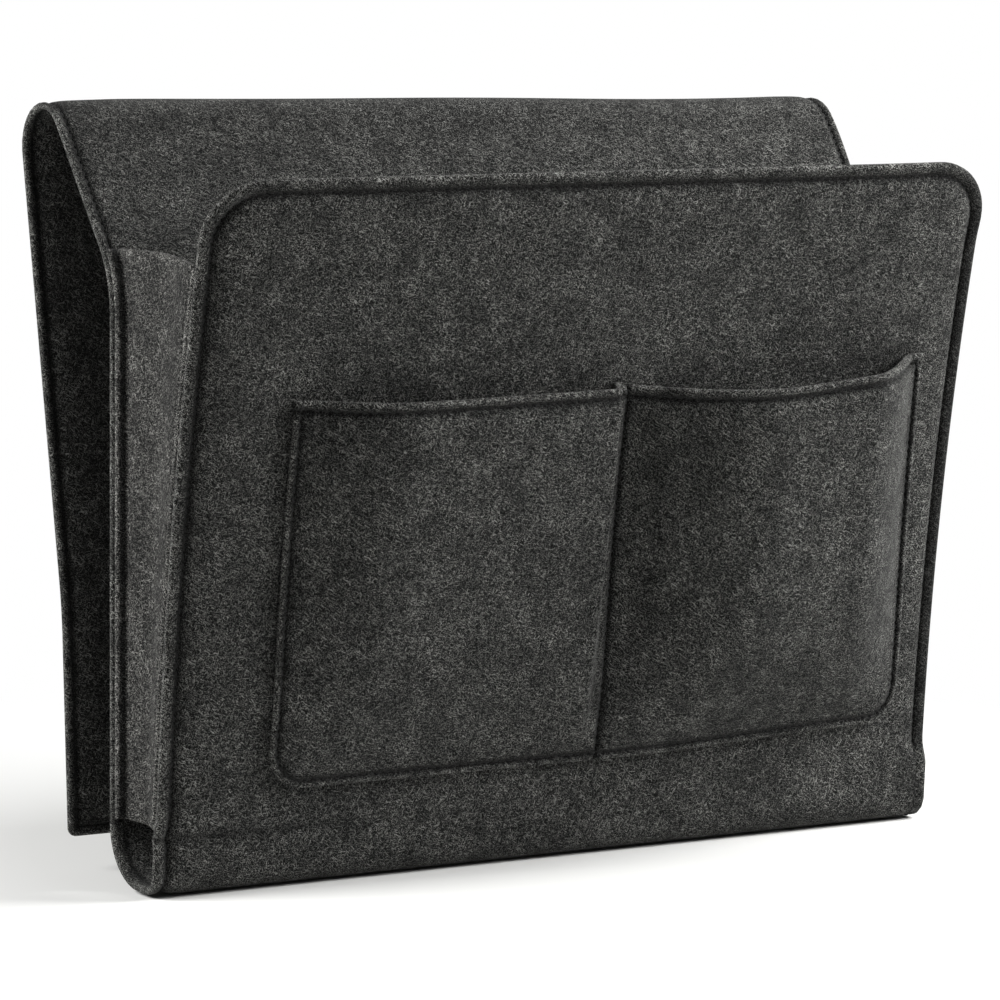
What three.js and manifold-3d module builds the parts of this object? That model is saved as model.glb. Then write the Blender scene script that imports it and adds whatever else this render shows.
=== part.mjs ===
// Bedside caddy of thick felt: a hanging pouch with a patch pocket in front and a flap behind.
// Millimetres, +Z up, +X to the right of someone who faces the pocket, the front towards -Y.
import * as THREE from 'three';
import { mergeVertices } from 'three/addons/utils/BufferGeometryUtils.js';
import loadManifold from 'manifold-3d';

const wasm = await loadManifold();
wasm.setup();

// Driving dimensions: the felt and its seams
const FELT = 3.5; // thickness of the felt
const GAP = 0.3; // clearance between pieces that touch
const THREAD = 0.8; // thickness of the sewing thread
const STITCH_INSET = 3.5; // from a cut edge to its seam

// Driving dimensions: the long sheet, from the front panel to the flap
const WIDTH = 320; // cut width
const BASE_DEPTH = 34; // front face to rear face at the foot
const FRONT_HEIGHT = 243; // top of the front panel above the bottom
const LEAN_DEPTH = 9; // steady part of the front panel's forward lean
const FLARE_DEPTH = 26; // further lean that grows towards the top
const FRONT_CORNER = 24; // radius of the front panel's top corners
const FOLD_LINE = 20; // height of the crease between bottom and front panel
const FRONT_BEND = 8; // outside radius of the bottom's front bend
const BOTTOM_FLAT = 5; // flat stretch between the bottom's two bends
const BACK_HEIGHT = 194; // height where the back panel starts to lean back
const LEAN_BEND = 36; // inside radius of that bend
const LEAN_ANGLE = 39.6; // lean of the saddle's slope, in degrees from upright
const SADDLE_RUN = 49.5; // straight slope between the two bends
const ARCH_BEND = 16; // outside radius of the arch over the rail
const FLAP_ANGLE = 10.8; // lean of the upper flap towards the back panel, in degrees
const FLAP_RUN = 147; // upper straight stretch of the flap
const FLAP_BEND = 150; // radius of the flap's slack bend
const FLAP_EASE = 7.6; // turn of that bend, in degrees
const FLAP_HANG = 69; // lower straight stretch of the flap

// Driving dimensions: the gussets
const GUSSET_TOP = 216.5; // height of the upper edge
const GUSSET_RECESS = 3.4; // from the panels' cut edges in to the web
const GUSSET_BEND = 2.4; // radius of the folds, at the middle of the felt
const FOOT_RISE = 1.2; // from the bottom's rear bend up to the gusset's foot

// Driving dimensions: the patch pocket, seen on the front panel
const POCKET_LEFT = -119.5;
const POCKET_RIGHT = 142;
const POCKET_BOTTOM = 34.5; // edges of the left pocket
const POCKET_TOP = 167.5;
const POCKET_LIFT = 3.7; // how much higher both are sewn at the right
const POCKET_CORNER = 14; // radius of the lower corners
const POCKET_DIVIDER = 12; // where the divider is sewn
const PHONE_ROOM = 9; // depth of the left pocket
const PHONE_RISE = 36; // width over which its left side rises
const PHONE_FLOOR = 90; // height over which it opens from its bottom seam
const FOLD_RUN = 6; // width over which its right side folds down
const REMOTE_ROOM = 18; // depth of the right pocket
const REMOTE_RISE = 54; // width over which its left side rises
const REMOTE_FALL = 30; // width over which its right side falls
const REMOTE_FLOOR = 60; // height over which it opens from its bottom seam
const SEAM_STRIP = 5.5; // flat strip beside the pocket's cut edges
const WALL = 2.2; // horizontal thickness of the felt in a steep wall

// Facets
const BEND_STEP = 10; // degrees per facet of a bend
const PANEL_ROWS = 14;
const GUSSET_ROWS = 10;
const LEAN_ROWS = 5; // of the gusset where the back sheet leans
const CORNER_STEPS = 6;
const FOLD_STEPS = 4;
const SLOPE_STEPS = 6;
const RISE_STEPS = 8; // columns of a pocket's wall
const FLOOR_ROWS = 14;
const FLAT_STEPS = 4;
const THREAD_SIDES = 6;
const GROOVE_SIDES = 8;

const radians = THREE.MathUtils.degToRad;
const smooth = (value) => THREE.MathUtils.smoothstep(value, 0, 1);
// Rises at once and eases out, like cloth pulled from a seam over something thick.
const pulled = (value) => Math.sin((Math.PI / 2) * THREE.MathUtils.clamp(value, 0, 1));
const half = FELT / 2;
const edge = WIDTH / 2;
const seam = edge - STITCH_INSET;

function stops(from, to, steps) {
  return Array.from({ length: steps + 1 }, (_, i) => from + ((to - from) * i) / steps);
}

function joinStops(...runs) {
  return runs.flatMap((run, i) => (i === 0 ? run : run.slice(1)));
}

// Closed geometry as a solid and back, for the few cuts that the felt needs.
function toSolid(geometry) {
  const bare = geometry.clone();
  bare.deleteAttribute('normal');
  bare.deleteAttribute('uv');
  const merged = mergeVertices(bare);
  const vertProperties = new Float32Array(merged.attributes.position.array);
  const triVerts = new Uint32Array(merged.index.array);
  return new wasm.Manifold(new wasm.Mesh({ numProp: 3, vertProperties, triVerts }));
}

function toGeometry(solid) {
  const { vertProperties, triVerts } = solid.getMesh();
  const geometry = new THREE.BufferGeometry();
  geometry.setAttribute('position', new THREE.BufferAttribute(vertProperties, 3));
  geometry.setIndex(new THREE.BufferAttribute(triVerts, 1));
  return geometry;
}

function carve(geometry, ...cutters) {
  return toGeometry(cutters.reduce((solid, cutter) => solid.subtract(toSolid(cutter)), toSolid(geometry)));
}

function mirrored(geometry) {
  const copy = geometry.clone().scale(-1, 1, 1);
  const index = copy.index.array;
  for (let i = 0; i < index.length; i += 3) {
    [index[i], index[i + 1]] = [index[i + 1], index[i]];
  }
  return copy;
}

// A grid of felt bent by place(u, v, side), where side is 0 on the front face of a sheet laid across
// and 1 on the face behind.
function bentSheet(uStops, vStops, place) {
  const columns = uStops.length - 1;
  const rows = vStops.length - 1;
  const box = new THREE.BoxGeometry(1, 1, 1, columns, 1, rows);
  box.deleteAttribute('normal');
  box.deleteAttribute('uv');
  const sheet = mergeVertices(box);
  const { position } = sheet.attributes;
  for (let i = 0; i < position.count; i += 1) {
    const u = uStops[Math.round((position.getX(i) + 0.5) * columns)];
    const v = vStops[Math.round((position.getZ(i) + 0.5) * rows)];
    const point = place(u, v, position.getY(i) + 0.5);
    position.setXYZ(i, point.x, point.y, point.z);
  }
  return sheet;
}

// Centre line of the long sheet in the side plane, walked from front to rear: x is depth, y is height.
class FeltLine {
  constructor(point, heading) {
    this.heading = heading;
    this.stations = [];
    this.mark(point);
  }

  get end() {
    return this.stations[this.stations.length - 1];
  }

  mark(point) {
    const turn = radians(this.heading);
    const along = new THREE.Vector2(Math.cos(turn), Math.sin(turn));
    this.stations.push({ point, along, left: new THREE.Vector2(-along.y, along.x) });
  }

  run(length, steps = 1) {
    for (let i = 0; i < steps; i += 1) {
      this.mark(this.end.point.clone().addScaledVector(this.end.along, length / steps));
    }
    return this;
  }

  // Positive degrees turn left. The radius is that of the centre line.
  bend(radius, degrees) {
    const { point, left } = this.end;
    const side = Math.sign(degrees);
    const centre = point.clone().addScaledVector(left, side * radius);
    const steps = Math.ceil(Math.abs(degrees) / BEND_STEP);
    const start = this.heading;
    for (let i = 1; i <= steps; i += 1) {
      this.heading = start + (degrees * i) / steps;
      const turn = radians(this.heading);
      const out = new THREE.Vector2(Math.sin(turn), -Math.cos(turn)).multiplyScalar(side * radius);
      this.mark(centre.clone().add(out));
    }
    return this;
  }

  next() {
    return new FeltLine(this.end.point.clone(), this.heading);
  }

  // Points at a height above the centre line, on its left side.
  offset(height) {
    return this.stations.map(({ point, left }) => point.clone().addScaledVector(left, height));
  }

  // The felt along this line, a little short at both ends so that neighbours stay apart.
  strip() {
    const first = this.stations[0].along.clone().multiplyScalar(GAP / 2);
    const last = this.end.along.clone().multiplyScalar(-GAP / 2);
    const faces = [this.offset(half), this.offset(-half)];
    for (const face of faces) {
      face[0].add(first);
      face[face.length - 1].add(last);
    }
    const shape = new THREE.Shape([...faces[0], ...faces[1].reverse()]);
    const felt = new THREE.ExtrudeGeometry(shape, { depth: WIDTH, bevelEnabled: false });
    const [x, y, z] = [[1, 0, 0], [0, 1, 0], [0, 0, 1]].map((axis) => new THREE.Vector3(...axis));
    return felt.applyMatrix4(new THREE.Matrix4().makeBasis(y, z, x)).translate(-edge, 0, 0);
  }
}

// A path through given stations, one swept ring at each.
class StationPath extends THREE.Curve {
  constructor(stations) {
    super();
    this.stations = stations;
  }

  getPoint(t) {
    const last = this.stations.length - 1;
    const place = Math.min(Math.max(t * last, 0), last);
    const i = Math.min(Math.floor(place + 1e-6), last - 1);
    return this.stations[i].clone().lerp(this.stations[i + 1], place - i);
  }

  getPointAt(u) {
    return this.getPoint(u);
  }

  getTangentAt(u) {
    const last = this.stations.length - 1;
    const i = Math.round(u * last);
    const before = this.stations[Math.max(i - 1, 0)];
    const after = this.stations[Math.min(i + 1, last)];
    return after.clone().sub(before).normalize();
  }
}

function sweep(stations, radius, sides) {
  const ring = stops(0, 2 * Math.PI, sides).slice(0, -1);
  const outline = ring.map((a) => new THREE.Vector2(radius * Math.cos(a), radius * Math.sin(a)));
  const extrudePath = new StationPath(stations);
  const settings = { steps: stations.length - 1, extrudePath, bevelEnabled: false };
  const rod = new THREE.ExtrudeGeometry(new THREE.Shape(outline), settings);
  rod.deleteAttribute('normal');
  rod.deleteAttribute('uv');
  return mergeVertices(rod);
}

// A seam: the thread that lies along the stations and the groove that it pulls into the felt.
const SUNK = THREAD / 2; // the thread's middle lies this far below the felt's face
function stitch(stations) {
  const last = stations.length - 1;
  const grooveRadius = (THREAD / 2 + GAP) / Math.cos(Math.PI / GROOVE_SIDES);
  const shortened = stations.map((station) => station.clone());
  shortened[0].addScaledVector(stations[1].clone().sub(stations[0]).normalize(), 2 * GAP);
  shortened[last].addScaledVector(stations[last - 1].clone().sub(stations[last]).normalize(), 2 * GAP);
  return {
    groove: sweep(stations, grooveRadius, GROOVE_SIDES),
    thread: sweep(shortened, THREAD / 2, THREAD_SIDES),
  };
}

// The front panel's outer face: depth and lean at a height, and a point at a distance in front of the face.
function frontDepth(height) {
  const share = height / FRONT_HEIGHT;
  return -(BASE_DEPTH + LEAN_DEPTH * share + FLARE_DEPTH * share * share);
}

function frontSlope(height) {
  return -(LEAN_DEPTH + (2 * FLARE_DEPTH * height) / FRONT_HEIGHT) / FRONT_HEIGHT;
}

function beforeFront(x, height, distance) {
  const inward = new THREE.Vector3(0, 1, -frontSlope(height)).normalize();
  return new THREE.Vector3(x, frontDepth(height), height).addScaledVector(inward, -distance);
}

// The long sheet's side lines. The bottom's rear bend takes what the front bend and the flat leave
// of the depth.
const crease = beforeFront(0, FOLD_LINE, -half);
const footLean = THREE.MathUtils.radToDeg(Math.atan(-frontSlope(FOLD_LINE)));
const footSine = Math.sin(radians(footLean));
const footCosine = Math.cos(radians(footLean));
const frontBend = FRONT_BEND - half;
const footRun = (crease.z - half - frontBend * (1 - footSine)) / footCosine;
const toFlat = footRun * footSine + frontBend * footCosine;
const rearBend = -half - BOTTOM_FLAT - crease.y - toFlat;
const backFoot = half + rearBend;

const bottomLine = new FeltLine(new THREE.Vector2(crease.y, crease.z), footLean - 90)
  .run(footRun)
  .bend(frontBend, 90 - footLean)
  .run(BOTTOM_FLAT)
  .bend(rearBend, 90);
const backLine = bottomLine.next().run(BACK_HEIGHT - backFoot);
const saddleLine = backLine.next().bend(LEAN_BEND + half, -LEAN_ANGLE).run(SADDLE_RUN, SLOPE_STEPS);
const archStart = saddleLine.end;
const archCentre = archStart.point.clone().addScaledVector(archStart.left, half - ARCH_BEND);
saddleLine.bend(ARCH_BEND - half, LEAN_ANGLE - 180 - FLAP_ANGLE);
const flapLine = saddleLine.next().run(FLAP_RUN).bend(FLAP_BEND, FLAP_EASE).run(FLAP_HANG);

// The origin is the seat: the top of the arch's underside, which hangs on the rail.
const seat = new THREE.Vector3(0, archCentre.x, archCentre.y + ARCH_BEND - FELT);

const caddy = new THREE.Group();
caddy.position.copy(seat).negate();

const charcoalFelt = { color: 0x3d3e3d, roughness: 0.95, metalness: 0 };
const gussetFelt = { color: 0x464746, roughness: 0.95, metalness: 0 };
const darkThread = { color: 0x222322, roughness: 0.7, metalness: 0 };

function addPart(name, geometry, finish) {
  const mesh = new THREE.Mesh(geometry, new THREE.MeshStandardMaterial(finish));
  mesh.name = name;
  caddy.add(mesh);
}

// Front panel: a leaning sheet with two round top corners and one seam round its free edges.
function cornerTop(x) {
  const into = Math.max(Math.abs(x) - (edge - FRONT_CORNER), 0);
  return FRONT_HEIGHT - FRONT_CORNER + Math.sqrt(Math.max(FRONT_CORNER ** 2 - into ** 2, 0));
}

function frontPanel() {
  const quarter = stops(0, Math.PI / 2, CORNER_STEPS);
  const right = quarter.map((a) => edge - FRONT_CORNER + FRONT_CORNER * Math.sin(a));
  const left = right.map((x) => -x).reverse();
  const columns = joinStops(left, [left[left.length - 1], 0, right[0]], right);
  const foot = FOLD_LINE + GAP / 2;
  const place = (x, v, side) => beforeFront(x, foot + v * (cornerTop(x) - foot), -side * FELT);
  return bentSheet(columns, stops(0, 1, PANEL_ROWS), place);
}

function frontSeam() {
  const radius = FRONT_CORNER - STITCH_INSET;
  const shoulder = FRONT_HEIGHT - FRONT_CORNER;
  const rising = stops(FOLD_LINE + 2 * GAP, shoulder, PANEL_ROWS).map((z) => [-seam, z]);
  const corner = stops(0, Math.PI / 2, CORNER_STEPS).slice(1);
  const turning = corner.map((a) => [-seam + radius * (1 - Math.cos(a)), shoulder + radius * Math.sin(a)]);
  const leftHalf = [...rising, ...turning];
  const rightHalf = leftHalf.map(([x, z]) => [-x, z]).reverse();
  return stitch([...leftHalf, ...rightHalf].map(([x, z]) => beforeFront(x, z, -SUNK)));
}

const frontEdge = frontSeam();
addPart('front_panel', carve(frontPanel(), frontEdge.groove), charcoalFelt);
addPart('front_edge_stitch', frontEdge.thread, darkThread);

// A length of the long sheet with a seam along both cut edges, on its upper or under face above a height.
const UPPER_FACE = 1;
const UNDER_FACE = -1;
function addEdgeSewn(name, line, face, seamName, sewnAbove = 0) {
  const first = line.stations.findIndex(({ point }) => point.y > sewnAbove);
  const points = line.offset(face * (half - SUNK)).slice(first);
  points[0].addScaledVector(line.stations[first].along, 2 * GAP);
  points[points.length - 1].addScaledVector(line.end.along, -2 * GAP);
  const along = (x) => points.map(({ x: depth, y: height }) => new THREE.Vector3(x, depth, height));
  const [left, right] = [-seam, seam].map((x) => stitch(along(x)));
  addPart(name, carve(line.strip(), left.groove, right.groove), charcoalFelt);
  addPart(`${seamName}_left`, left.thread, darkThread);
  addPart(`${seamName}_right`, right.thread, darkThread);
}

addEdgeSewn('bottom_fold', bottomLine, UNDER_FACE, 'bottom_stitch');
addEdgeSewn('back_panel', backLine, UNDER_FACE, 'back_seam');
// The saddle's seams start above the gussets, which cover the felt below.
addEdgeSewn('saddle_fold', saddleLine, UPPER_FACE, 'saddle_stitch', GUSSET_TOP + STITCH_INSET);

// Flap: one seam runs down one side, across the hem and up the other side.
function flapSeam() {
  const side = flapLine.offset(half - SUNK);
  const last = side.length - 1;
  side[0].addScaledVector(flapLine.stations[0].along, 2 * GAP);
  side[last].addScaledVector(flapLine.end.along, -STITCH_INSET);
  const leftSide = side.map(({ x, y }) => new THREE.Vector3(-seam, x, y));
  const rightSide = side.map(({ x, y }) => new THREE.Vector3(seam, x, y)).reverse();
  return stitch([...leftSide, ...rightSide]);
}

const flapEdge = flapSeam();
addPart('flap_panel', carve(flapLine.strip(), flapEdge.groove), charcoalFelt);
addPart('flap_edge_stitch', flapEdge.thread, darkThread);

// Gussets: felt channels whose flanges lie on the inner faces of the back sheet and the front panel.
function backLean(height) {
  const rise = Math.max(height - BACK_HEIGHT, 0);
  return Math.asin(Math.min(rise / (LEAN_BEND + FELT), Math.sin(radians(LEAN_ANGLE))));
}

function backFace(height) {
  const lean = backLean(height);
  const radius = LEAN_BEND + FELT;
  const pastBend = Math.max(height - BACK_HEIGHT, 0) - radius * Math.sin(lean);
  return LEAN_BEND - radius * Math.cos(lean) + pastBend * Math.tan(lean);
}

function backSecant(height) {
  return 1 / Math.cos(backLean(height));
}

function frontSecant(height) {
  return Math.hypot(1, frontSlope(height));
}

// The channel's centre line in plan at a height, from the rear flange's cut edge to the front one's.
function channelPlan(height) {
  const rear = backFace(height) - (GAP + half) * backSecant(height);
  const front = frontDepth(height) + (FELT + GAP + half) * frontSecant(height);
  const web = -edge + GUSSET_RECESS + half;
  const turn = stops(0, Math.PI / 2, FOLD_STEPS);
  const corner = web - GUSSET_BEND;
  const bend = GUSSET_BEND;
  const rearFold = turn.map((a) => ({
    x: corner + bend * Math.sin(a),
    y: rear - bend * (1 - Math.cos(a)),
    nx: Math.sin(a),
    ny: Math.cos(a) * backSecant(height),
  }));
  const frontFold = turn.map((a) => ({
    x: corner + bend * Math.cos(a),
    y: front + bend * (1 - Math.sin(a)),
    nx: Math.cos(a),
    ny: -Math.sin(a) * frontSecant(height),
  }));
  const rearEdge = { ...rearFold[0], x: -edge };
  const frontEdgePoint = { ...frontFold[frontFold.length - 1], x: -edge };
  return [rearEdge, ...rearFold, ...frontFold, frontEdgePoint];
}

function gusset() {
  const foot = backFoot + FOOT_RISE;
  const planStops = channelPlan(foot).map((_, i) => i);
  const lower = stops(foot, BACK_HEIGHT, GUSSET_ROWS);
  const upper = stops(BACK_HEIGHT, GUSSET_TOP, LEAN_ROWS);
  return bentSheet(planStops, joinStops(lower, upper), (i, height, side) => {
    const { x, y, nx, ny } = channelPlan(height)[i];
    const out = (side - 0.5) * FELT;
    return new THREE.Vector3(x + nx * out, y + ny * out, height);
  });
}

const leftGusset = gusset();
addPart('left_gusset', leftGusset, gussetFelt);
addPart('right_gusset', mirrored(leftGusset), gussetFelt);

// Patch pocket: flat along its seams, standing off the front panel between them.
const leftWall = POCKET_LEFT + SEAM_STRIP;
const rightWall = POCKET_RIGHT - SEAM_STRIP;
const foldFoot = POCKET_DIVIDER - STITCH_INSET;
const remoteFoot = POCKET_DIVIDER + STITCH_INSET;
const floor = POCKET_BOTTOM + SEAM_STRIP;

function lift(x) {
  return POCKET_LIFT * smooth((x - remoteFoot) / (rightWall - remoteFoot));
}

// Room between the front panel and a face of the pocket whose walls are set in from where the felt rises.
function standOff(x, height, setIn) {
  const rise = height - floor - lift(x) - setIn;
  const phone = pulled((x - leftWall - setIn) / PHONE_RISE) * smooth((foldFoot - setIn - x) / FOLD_RUN);
  const remoteSides = [(x - remoteFoot - setIn) / REMOTE_RISE, (rightWall - setIn - x) / REMOTE_FALL];
  const remote = remoteSides.map(pulled).reduce((a, b) => a * b);
  const phoneRoom = PHONE_ROOM * phone * pulled(rise / PHONE_FLOOR);
  return GAP + phoneRoom + REMOTE_ROOM * remote * pulled(rise / REMOTE_FLOOR);
}

function onPocket(x, height, depth) {
  return beforeFront(x, height, standOff(x, height, 0) + FELT - depth);
}

function behindPocket(x, height) {
  return beforeFront(x, height, standOff(x, height, WALL));
}

function pocketFoot(x) {
  const into = Math.max(POCKET_LEFT + POCKET_CORNER - x, x - (POCKET_RIGHT - POCKET_CORNER), 0);
  const drop = Math.sqrt(Math.max(POCKET_CORNER ** 2 - into ** 2, 0));
  return POCKET_BOTTOM + lift(x) + POCKET_CORNER - drop;
}

const phoneColumns = joinStops(
  stops(POCKET_LEFT + POCKET_CORNER, leftWall + PHONE_RISE, RISE_STEPS),
  stops(leftWall + PHONE_RISE, foldFoot - FOLD_RUN - WALL, FLAT_STEPS),
);
const remoteColumns = joinStops(
  stops(remoteFoot, remoteFoot + REMOTE_RISE, RISE_STEPS),
  stops(remoteFoot + REMOTE_RISE, rightWall - REMOTE_FALL, FLAT_STEPS),
  stops(rightWall - REMOTE_FALL, POCKET_RIGHT - POCKET_CORNER, FLAT_STEPS),
);

function pocketPanel() {
  const quarter = stops(Math.PI / 2, 0, CORNER_STEPS);
  const leftCorner = quarter.map((a) => POCKET_LEFT + POCKET_CORNER * (1 - Math.sin(a)));
  const rightCorner = leftCorner.map((x) => POCKET_RIGHT + POCKET_LEFT - x).reverse();
  const fold = stops(foldFoot - FOLD_RUN - WALL, foldFoot, RISE_STEPS);
  const seamed = [foldFoot, remoteFoot];
  const columns = joinStops(leftCorner, phoneColumns, fold, seamed, remoteColumns, rightCorner);
  const floorShare = (floor - POCKET_BOTTOM) / (POCKET_TOP - POCKET_BOTTOM);
  const rows = joinStops([0, floorShare], stops(floorShare, 1, FLOOR_ROWS));
  return bentSheet(columns, rows, (x, v, side) => {
    const foot = pocketFoot(x);
    const height = foot + v * (POCKET_TOP + lift(x) - foot);
    return side === 0 ? onPocket(x, height, 0) : behindPocket(x, height);
  });
}

function pocketSeam() {
  const radius = POCKET_CORNER - STITCH_INSET;
  const bend = POCKET_BOTTOM + POCKET_CORNER;
  const left = POCKET_LEFT + STITCH_INSET;
  const right = POCKET_RIGHT - STITCH_INSET;
  const falling = (x) => stops(POCKET_TOP - 2 * GAP, bend, PANEL_ROWS).map((z) => [x, z]);
  const corner = stops(0, Math.PI / 2, CORNER_STEPS).slice(1);
  const turning = corner.map((a) => [left + radius * (1 - Math.cos(a)), bend - radius * Math.sin(a)]);
  const turningBack = turning.map(([x, z]) => [left + right - x, z]);
  const leftHalf = [...falling(left), ...turning];
  const rightHalf = [...falling(right), ...turningBack].reverse();
  return stitch([...leftHalf, ...rightHalf].map(([x, z]) => onPocket(x, z + lift(x), SUNK)));
}

function dividerSeam() {
  const heights = stops(POCKET_TOP - 2 * GAP, POCKET_BOTTOM + 2 * STITCH_INSET, PANEL_ROWS);
  return stitch(heights.map((z) => onPocket(POCKET_DIVIDER, z, SUNK)));
}

function hemSeam(columns) {
  return stitch(columns.map((x) => onPocket(x, POCKET_TOP + lift(x) - STITCH_INSET, SUNK)));
}

const pocketSeams = {
  pocket_edge_stitch: pocketSeam(),
  pocket_divider_stitch: dividerSeam(),
  pocket_hem_stitch_left: hemSeam(phoneColumns),
  pocket_hem_stitch_right: hemSeam(remoteColumns),
};
const pocketGrooves = Object.values(pocketSeams).map(({ groove }) => groove);
addPart('pocket_panel', carve(pocketPanel(), ...pocketGrooves), charcoalFelt);
for (const [name, { thread }] of Object.entries(pocketSeams)) {
  addPart(name, thread, darkThread);
}

export default caddy;
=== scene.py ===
# Bedside caddy of thick felt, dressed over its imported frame.
# Shapes are worked out in millimetres with the caddy's foot at height 0 and its rear face at depth 0,
# the front towards -Y, and go into Blender in metres with the origin at the seat on the rail.
import math

import bpy
import numpy as np
from mathutils import Matrix, Vector


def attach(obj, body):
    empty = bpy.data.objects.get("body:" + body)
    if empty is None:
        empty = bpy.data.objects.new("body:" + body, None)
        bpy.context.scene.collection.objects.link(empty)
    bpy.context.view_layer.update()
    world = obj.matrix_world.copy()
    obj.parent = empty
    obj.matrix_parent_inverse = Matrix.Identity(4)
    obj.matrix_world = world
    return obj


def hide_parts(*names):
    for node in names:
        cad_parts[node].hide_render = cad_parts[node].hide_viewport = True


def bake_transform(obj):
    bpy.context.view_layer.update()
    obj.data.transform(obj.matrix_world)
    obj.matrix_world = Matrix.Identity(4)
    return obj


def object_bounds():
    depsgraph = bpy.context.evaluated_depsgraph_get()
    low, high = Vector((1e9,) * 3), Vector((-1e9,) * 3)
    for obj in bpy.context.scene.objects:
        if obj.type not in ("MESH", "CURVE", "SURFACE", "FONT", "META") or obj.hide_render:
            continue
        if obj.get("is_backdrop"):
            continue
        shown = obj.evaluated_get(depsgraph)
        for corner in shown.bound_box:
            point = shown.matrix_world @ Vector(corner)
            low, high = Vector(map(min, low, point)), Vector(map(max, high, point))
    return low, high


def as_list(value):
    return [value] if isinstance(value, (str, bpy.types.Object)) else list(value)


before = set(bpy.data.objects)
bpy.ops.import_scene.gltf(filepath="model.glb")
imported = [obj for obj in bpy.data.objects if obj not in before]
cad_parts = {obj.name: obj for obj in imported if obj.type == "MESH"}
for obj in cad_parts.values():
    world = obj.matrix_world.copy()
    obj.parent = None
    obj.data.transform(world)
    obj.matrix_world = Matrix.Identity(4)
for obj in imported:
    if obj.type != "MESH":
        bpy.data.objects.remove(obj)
cad_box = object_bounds()
scene = bpy.context.scene

# The felt and its seams
FELT = 3.5  # thickness
HALF = FELT / 2
GAP = 0.3  # between pieces that touch
SEAM_INSET = 3.5  # from a cut edge to its seam
FRONT_INSET = 4.9  # the same on the front sheet
POCKET_INSET = 2.7  # the same on the pocket's sewn edges
SEAM_DIP = 2.4  # how far a seam pulls the felt in
HIDDEN_DIP = 0.7  # the same on the other face
REAR_DIP = (SEAM_DIP + HIDDEN_DIP) / 2  # the same on both faces of the rear sheet
SLIT, SWELL = 1.0, 2.6  # distances over which a seam's slit opens and the felt beside it swells
SLIT_SHARE, SWELL_SHARE = 0.55, 0.45  # of the dip
PRESS_WIDTH = 1.5  # half width of the felt that a seam presses hard, which is also painted in shade
HIGHLIGHT_WIDTH = 2.6  # width of the painted highlight beside a cut edge
SEAM_STRIP = 5.5  # flat strip beside the pocket's cut edges
CUT_DISTANCE = (0, 0.2, 0.5, 1.0, 1.6, 2.4)  # from a cut edge
CUT_THICKNESS = (0.36, 0.56, 0.73, 0.88, 0.96, 1)  # share of the thickness there
WAVE_START, WAVE_GROW = 5.0, 28.0  # distance from an edge where waves set in, and in which they grow

# The long sheet
WIDTH = 320.0
EDGE = WIDTH / 2
BASE_DEPTH = 34.0
FRONT_HEIGHT = 243.0
LEAN_DEPTH = 9.0  # steady part of the front's forward lean
FLARE_DEPTH = 26.0  # part that grows towards the top
FRONT_CORNER = 24.0
FOLD_LINE = 20.0  # height of the crease between bottom and front
FRONT_BEND = 8.0
BOTTOM_FLAT = 5.0
BACK_HEIGHT = 194.0
LEAN_BEND = 36.0
LEAN_ANGLE = 39.6
SADDLE_RUN = 49.5
ARCH_BEND = 16.0
FLAP_ANGLE = 10.8
FLAP_RUN = 147.0
FLAP_BEND = 150.0
FLAP_EASE = 7.6
FLAP_HANG = 69.0
FLAP_CORNER = 3.0

# The front's fullness: it stands forward between its sides, which the gussets draw in and turn back
FRONT_BOW = 3.0
BOW_EDGE = 15.0  # distance from the side over which it comes forward
BOW_RISE = 55.0  # length above the crease over which it does
BOW_EASE, EASE_START, EASE_RUN = 0.3, 120.0, 100.0  # share lost higher up, from where and over what length
RIM_WIDTH = 9.0
RIM_TURN = 7.0  # degrees
RIM_BEND = 20.0  # radius of the turn
RIM_DRAW = 1.1  # how far the sides are drawn in
RIM_SET = 10.0  # length at the gusset's foot over which the turn sets in
RIM_END = 0.3  # share of the corner's radius that has no turn
CREASE_DIP, CREASE_END = 0.9, -20.0  # depth of the crease, and where across the front it fades out
CREASE_SHADE = 0.7  # how dark the painted shade in the crease is
SEAM_LOSS = 0.85  # share of the right seam's pull that is lost below the gusset's foot
SEAM_END = 12.0  # length over which that happens
RIGHT_RIM_SHADE = 0.85  # how dark the painted shade on the right rim is, from its seam to the cut edge
RIGHT_GROW = 0.7  # share of the corner's radius over which that sets in
SEAM_PAST = 0.7  # how far past the seam it reaches
FRONT_WAVES = ((0.5, 260, 900, 0.4), (0.35, -190, 320, 1.7), (0.25, 140, -210, 3.0))

# The saddle's hang
SADDLE_SWAY = 6.0  # how far it hangs forward at its right end
SADDLE_TILT = 1.3  # how far it rises at the left and drops at the right
FREE_START, FREE_RUN = 40.0, 60.0  # length past the lean's start where waves set in, and in which they grow
REAR_WAVES = ((0.5, 300, 700, 0.9), (0.35, -170, 260, 2.2))
LEAN_STRETCH = 1.02  # length along the lean for its height

# The gussets
GUSSET_TOP = 216.5
GUSSET_RECESS = 3.4
GUSSET_BEND = 2.4
FOOT_RISE = 1.2
GUSSET_CROWN = 1.5  # rise of the upper edge in its middle
GUSSET_FALL = 2.8  # drop of the upper edge towards the front
FOOT_LIFT, FOOT_FALL = 0.7, 2.0  # rise of the lower edge at the rear and its drop towards the front
FLANGE_TRIM = 4.5  # how much higher the front flange is cut off at its foot
GUSSET_BOW = 2.0  # how far the web sinks in its middle
EDGE_FADE = 6  # power at which the form of an upper or lower edge fades along the gusset
FLANGE_POINTS = 9  # of the plan, on each flange with its bend
FLANGE_CLEAR = 0.05  # left between the rear flange and the back sheet, whose dip it fills
FLANGE_SHADE = 0.8  # how dark the painted shade is on the rear flange in the recess, on a strip beside its light cut edge
STRIP_START, STRIP_GROW = 0.3, 0.9
STRIP_END, STRIP_FADE = 3.8, 1.2
FILL_START, FILL_GROW = 0.5, 1.1  # inset from which the flange fills the dip, and in which it thickens
FILL_END = 2.0  # height at both ends of the flange over which it stops

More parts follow.
